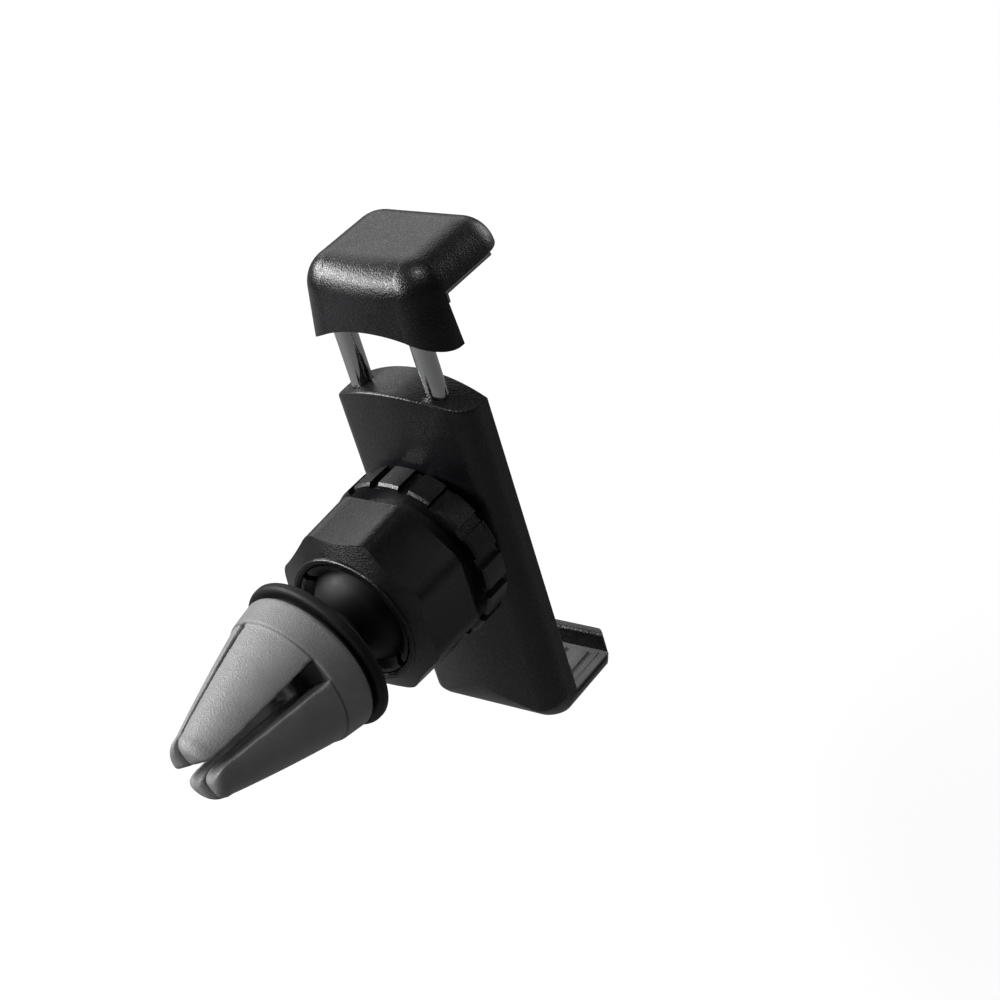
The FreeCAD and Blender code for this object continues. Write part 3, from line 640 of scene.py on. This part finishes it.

# %% [markdown]
# ## The springs
# Each rod pulls a washer up against a spring when the jaw opens. A spring can't follow the
# jaw as one stiff piece, but here a copy of each coil is only merged, shaded smooth and
# put on the holder in place of the CAD coil; it is not made to flatten.

for side in ("left", "right"):
    spring = "spring_" + side
    coil = cad_copy(spring)
    bpy.ops.object.shade_smooth_by_angle(angle=math.radians(40))
    settle(coil, "coil_" + side, Matrix(), "holder", "spring_steel", spring)
    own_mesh(coil)

# %% [markdown]
# ## Finishes
# A finish is a small network of nodes. Writing it as sums keeps it readable, so one class
# wraps a socket and turns +, - and * into Math nodes, and another makes every other kind
# of node from its type, its settings and the values of its sockets.

# %% Shader sums
class Wire:
    """A socket of a material that can stand in a sum."""

    def __init__(self, finish, socket):
        self.finish = finish
        self.socket = socket

    def sum(self, operation, left, right):
        return self.finish.node("ShaderNodeMath", {"operation": operation}, {0: left, 1: right})

    def __add__(self, other):
        return self.sum("ADD", self, other)

    def __radd__(self, other):
        return self.sum("ADD", other, self)

    def __sub__(self, other):
        return self.sum("SUBTRACT", self, other)

    def __rsub__(self, other):
        return self.sum("SUBTRACT", other, self)

    def __mul__(self, other):
        return self.sum("MULTIPLY", self, other)

    def __rmul__(self, other):
        return self.sum("MULTIPLY", other, self)


class Finish:
    """A material on a Principled shader, with the nodes that feed it."""

    def __init__(self, name, **constants):
        self.material = bpy.data.materials.new(name)
        self.material.use_nodes = True
        self.tree = self.material.node_tree
        self.shader = self.tree.nodes["Principled BSDF"]
        for socket, value in constants.items():
            self.shader.inputs[socket.replace("_", " ")].default_value = value
        self.here = self.node("ShaderNodeTexCoord", output="Object")

    def node(self, kind, settings=None, sockets=None, output=0):
        made = self.tree.nodes.new(kind)
        for name, value in (settings or {}).items():
            setattr(made, name, value)
        for name, value in (sockets or {}).items():
            self.join(value, made.inputs[name])
        return Wire(self, made.outputs[output])

    def join(self, value, socket):
        if isinstance(value, Wire):
            self.tree.links.new(value.socket, socket)
        else:
            socket.default_value = value

    def feed(self, **inputs):
        """Links what varies to the shader."""
        for name, value in inputs.items():
            self.join(value, self.shader.inputs[name.replace("_", " ")])

    def noise(self, size, detail=2.0, rough=0.5):
        """Soft noise with blotches of a size in millimetres."""
        return self.node(
            "ShaderNodeTexNoise",
            {},
            {"Vector": self.here, "Scale": 1 / (size * MM), "Detail": detail, "Roughness": rough},
        )

    def cells(self, size):
        """Distance to the middle of the nearest cell, for pits and grains of a size."""
        sockets = {"Vector": self.here, "Scale": 1 / (size * MM)}
        return self.node("ShaderNodeTexVoronoi", {}, sockets)

    def ramp(self, value, low, high, start=0.0, end=1.0):
        """Maps one range of a value smoothly to another."""
        return self.node(
            "ShaderNodeMapRange",
            {"interpolation_type": "SMOOTHSTEP"},
            {"Value": value, "From Min": low, "From Max": high, "To Min": start, "To Max": end},
        )

    def tint(self, share, low, high):
        """A colour between two, by a share from 0 to 1."""
        sockets = {0: share, 6: (*low, 1), 7: (*high, 1)}
        return self.node("ShaderNodeMix", {"data_type": "RGBA"}, sockets, 2)

    def bump(self, height, depth):
        """A normal from a height of 0 to 1 that stands for a depth in millimetres."""
        sockets = {"Strength": 1.0, "Distance": depth * MM, "Height": height}
        return self.node("ShaderNodeBump", {}, sockets, "Normal")


def wear(finish, *names):
    """Gives CAD nodes or pieces a finish."""
    for name in names:
        piece = bpy.data.objects[name]
        if not piece.material_slots:
            piece.data.materials.append(finish.material)
        for slot in piece.material_slots:
            slot.material = finish.material
    print(finish.material.name, "on", ", ".join(names))


# %% [markdown]
# The body and the jaw are black plastic from a spark-eroded mould. Its surface is a field
# of tiny round grains, each of which can catch the light and glint. Cells about a quarter
# of a millimetre wide make the grains, a thin coat on some of them makes them sparkle, and
# wider noise varies how rough and how grey they are.

# %% Moulded black plastic
def moulded_black(name, grain, depth, dark):
    """Grained black plastic with grains of a size and a depth in millimetres."""
    finish = Finish(name, IOR=1.45, Coat_Roughness=0.15)
    grains = finish.cells(grain)
    crumbs = finish.noise(grain * 0.6, 1.0)
    drift = finish.noise(9.0, 3.0, 0.6)
    dust = finish.ramp(finish.noise(1.3, 4.0, 0.7), 0.45, 0.75)
    light = tuple(c * 1.9 + 0.001 for c in dark)
    finish.feed(
        Base_Color=finish.tint(finish.ramp(drift + dust * 0.15, 0.35, 0.75), dark, light),
        Roughness=finish.ramp(drift * 0.6 + crumbs * 0.4, 0.35, 0.65, 0.3, 0.4),
        Coat_Weight=finish.ramp(crumbs, 0.5, 0.72, 0.0, 0.7),
        Normal=finish.bump(grains * 0.7 + crumbs * 0.6, depth),
    )
    return finish


shell_black = moulded_black("shell_black", 0.3, 0.045, (0.0024, 0.0026, 0.0032))
joint_black = moulded_black("joint_black", 0.26, 0.04, (0.0020, 0.0022, 0.0028))
wear(shell_black, "body_shell", "front_cover", "jaw_shell", "jaw_plate")
wear(joint_black, "ball_socket", "lock_nut", "friction_cup")

# %% [markdown]
# The clip's ball, neck and flange are harder black plastic with no grain, so that the ball
# turns smoothly. Grease and handling leave a soft haze on it, which noise stands for.

# %% Smooth black plastic
core_black = Finish("core_black", IOR=1.32)
haze = core_black.noise(2.5, 3.0, 0.6)
fine = core_black.noise(0.12, 1.0)
core_black.feed(
    Base_Color=core_black.tint(haze, (0.0018, 0.0019, 0.0024), (0.004, 0.0042, 0.005)),
    Roughness=core_black.ramp(haze, 0.3, 0.7, 0.5, 0.6),
    Normal=core_black.bump(fine + haze * 0.5, 0.004),
)
wear(core_black, "clip_core")

# %% [markdown]
# The fingers are mid grey rubber. It is matt, takes a fine sparkle from its mould, and has
# faint lighter clouds where it was handled. Along the crease where the fingers meet the
# collar, painted shade darkens the colour. How far a point lies from the crease is told by its
# height above the ball along the clip's axis, which is a dot product.

# %% Rubber
CREASE = COLLAR_END + 0.12

sleeve_grey = Finish("sleeve_grey", IOR=1.5)
speck = sleeve_grey.cells(0.2)
cloud = sleeve_grey.noise(5.0, 4.0, 0.6)
from_ball = sleeve_grey.node(
    "ShaderNodeVectorMath",
    {"operation": "SUBTRACT"},
    {0: sleeve_grey.here, 1: tuple(ball * MM)},
)
height = sleeve_grey.node(
    "ShaderNodeVectorMath",
    {"operation": "DOT_PRODUCT"},
    {0: from_ball, 1: tuple(clip_axis / MM)},
    "Value",
)
off_crease = sleeve_grey.node("ShaderNodeMath", {"operation": "ABSOLUTE"}, {0: height - CREASE})
# Painted shade: the colour falls to 0.35 of itself along the crease, as if shade lay in it.
crease_shade = sleeve_grey.ramp(off_crease, 0.05, 0.22, 0.35, 1.0)
skin_tone = sleeve_grey.tint(
    sleeve_grey.ramp(cloud + speck * 0.25, 0.35, 0.95), (0.15, 0.15, 0.152), (0.2, 0.2, 0.202)
)
sleeve_grey.feed(
    Base_Color=sleeve_grey.node(
        "ShaderNodeVectorMath", {"operation": "SCALE"}, {0: skin_tone, "Scale": crease_shade}
    ),
    Roughness=sleeve_grey.ramp(cloud, 0.3, 0.7, 0.4, 0.52),
    Normal=sleeve_grey.bump(speck + sleeve_grey.noise(0.1, 1.0) * 0.6, 0.05),
)
wear(sleeve_grey, "vent_sleeve")

# %% Liner rubber
liner_grey = Finish("liner_grey", IOR=1.5)
film = liner_grey.noise(3.0, 4.0, 0.6)
nap = liner_grey.noise(0.14, 2.0)
liner_grey.feed(
    Base_Color=liner_grey.tint(film, (0.12, 0.12, 0.122), (0.19, 0.19, 0.192)),
    Roughness=liner_grey.ramp(film, 0.3, 0.7, 0.55, 0.7),
    Normal=liner_grey.bump(nap, 0.008),
)
wear(liner_grey, "hook_liner", "jaw_pad", "back_pad")

# %% [markdown]
# The rods are polished steel with a chrome plate. Sliding in the body has drawn the finest
# of scratches along them, which are noise stretched along the rods' length. The screws,
# washers, springs and clips are duller, and take the same recipe with rougher values.

# %% Metals
SCRATCH = 0.12


def drawn_metal(name, colour, low_rough, high_rough, along, depth):
    """Metal with fine scratches, stretched along an axis by the scales given."""
    finish = Finish(name, Metallic=1.0)
    stretched = finish.node("ShaderNodeMapping", {}, {"Vector": finish.here, "Scale": along})
    lines = finish.node(
        "ShaderNodeTexNoise",
        {},
        {"Vector": stretched, "Scale": 1 / (SCRATCH * MM), "Detail": 2.0},
    )
    haze = finish.noise(1.6, 3.0, 0.6)
    finish.feed(
        Base_Color=finish.tint(haze, tuple(c * 0.86 for c in colour), colour),
        Roughness=finish.ramp(haze * 0.6 + lines * 0.4, 0.35, 0.65, low_rough, high_rough),
        Normal=finish.bump(lines, depth),
    )
    return finish


chrome = drawn_metal("rod_chrome", (0.55, 0.555, 0.56), 0.06, 0.14, (1, 1, 0.04), 0.0006)
zinc = drawn_metal("screw_zinc", (0.62, 0.64, 0.66), 0.22, 0.36, (1, 1, 1), 0.003)
spring_wire = drawn_metal("spring_wire", (0.50, 0.50, 0.50), 0.2, 0.32, (1, 1, 0.3), 0.002)
wear(chrome, "rod_left", "rod_right")
wear(zinc, "cover_screws", "socket_screws", "jaw_screws", "spring_washers")
wear(spring_wire, "coil_left", "coil_right", "rod_clips")

# %% [markdown]
# ## Stage and light
# The floor is plain and pale. What the camera sees of it is nearly all its own white, with
# a little of the light that falls on it, so the holder keeps a faint shadow. For every
# other ray it is darker, so that black plastic doesn't turn grey with its reflection.

# %% Floor
FLOOR_DROP = 75.0
FLOOR_SEEN = 0.8
FLOOR_REFLECTED = 0.16
GLOW_SHARE = 0.85
AIR_LIGHT = 0.03


def white_for_camera(tree, plain, kind, share):
    """Mixes a plain shader with white glow that only the camera sees, by a share."""
    mix = tree.nodes.new("ShaderNodeMixShader")
    glow = tree.nodes.new(kind)
    glow.inputs["Strength"].default_value = 1.0
    path = tree.nodes.new("ShaderNodeLightPath")
    part = tree.nodes.new("ShaderNodeMath")
    part.operation = "MULTIPLY"
    part.inputs[1].default_value = share
    tree.links.new(path.outputs["Is Camera Ray"], part.inputs[0])
    tree.links.new(part.outputs[0], mix.inputs[0])
    tree.links.new(plain.outputs[0], mix.inputs[1])
    tree.links.new(glow.outputs[0], mix.inputs[2])
    return mix


bpy.ops.object.select_all(action="DESELECT")
bpy.ops.mesh.primitive_plane_add(size=6.0, location=holder_place @ Vector((0, 0, -FLOOR_DROP)))
floor = bpy.context.object
floor.name = "floor"
floor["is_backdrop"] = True
floor_white = bpy.data.materials.new("floor_white")
floor_white.use_nodes = True
tree = floor_white.node_tree
paint = tree.nodes["Principled BSDF"]
paint.inputs["Roughness"].default_value = 0.8
paint.inputs["Specular IOR Level"].default_value = 0.1
shade = tree.nodes.new("ShaderNodeMix")
shade.data_type = "RGBA"
shade.inputs[6].default_value = (FLOOR_REFLECTED, FLOOR_REFLECTED, FLOOR_REFLECTED, 1)
shade.inputs[7].default_value = (FLOOR_SEEN, FLOOR_SEEN, FLOOR_SEEN, 1)
path = tree.nodes.new("ShaderNodeLightPath")
tree.links.new(path.outputs["Is Camera Ray"], shade.inputs[0])
tree.links.new(shade.outputs[2], paint.inputs["Base Color"])
mix = white_for_camera(tree, paint, "ShaderNodeEmission", GLOW_SHARE)
tree.links.new(mix.outputs[0], tree.nodes["Material Output"].inputs["Surface"])
floor.data.materials.append(floor_white)
print("floor at", round(floor.location.z, 3), "m")

# %% The air round the stage
world = bpy.data.worlds.new("world")
bpy.context.scene.world = world
world.use_nodes = True
tree = world.node_tree
air = tree.nodes["Background"]
air.inputs["Color"].default_value = (1, 1, 1, 1)
air.inputs["Strength"].default_value = AIR_LIGHT
mix = white_for_camera(tree, air, "ShaderNodeBackground", 1.0)
tree.links.new(mix.outputs[0], tree.nodes["World Output"].inputs["Surface"])
print("air gives", AIR_LIGHT, "and looks white")

# %% [markdown]
# Four soft lamps light the holder. The key is long and low and stands to the left of the
# view, a little above the holder. It draws the bright band along the jaw's back edge and
# lights the fingers from the left. The far lamp stands beyond the holder and gives the
# sheen on what faces up. A small one above the camera lends the rubber its soft shine, and
# one at the holder's front keeps the far sides from going black.

# %% Lamps
def lamp(name, direction, distance, width, height, watts):
    """A soft lamp in a direction from the holder, turned to face it."""
    data = bpy.data.lights.new(name, "AREA")
    data.shape = "RECTANGLE"
    data.size = width
    data.size_y = height
    data.energy = watts
    piece = bpy.data.objects.new(name, data)
    bpy.context.scene.collection.objects.link(piece)
    direction = Vector(direction).normalized()
    piece.location = holder_place.translation + direction * distance
    piece.rotation_euler = direction.to_track_quat("Z", "Y").to_euler()
    piece.visible_camera = False
    print(name, [round(v, 2) for v in piece.location], watts, "W")


lamp("key", (-0.68, -0.45, 0.59), 0.7, 0.9, 0.2, 11.5)
lamp("far", (-0.594, 0.607, 0.528), 1.0, 0.8, 0.8, 2.6)
lamp("top", (0.332, -0.041, 0.935), 0.8, 0.15, 0.15, 1.6)
lamp("front", (0.2, 0.97, 0.15), 0.9, 0.6, 0.6, 3.0)

# %% [markdown]
# The last cell sets the Standard view transform and gathers the size of the CAD model and
# of the dressed one.

# %% Close
bpy.context.scene.view_settings.view_transform = "Standard"
sizes = {"cad": [list(corner) for corner in cad_box], "visual": [list(corner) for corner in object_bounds()]}
print("sizes written:", ", ".join(sizes))
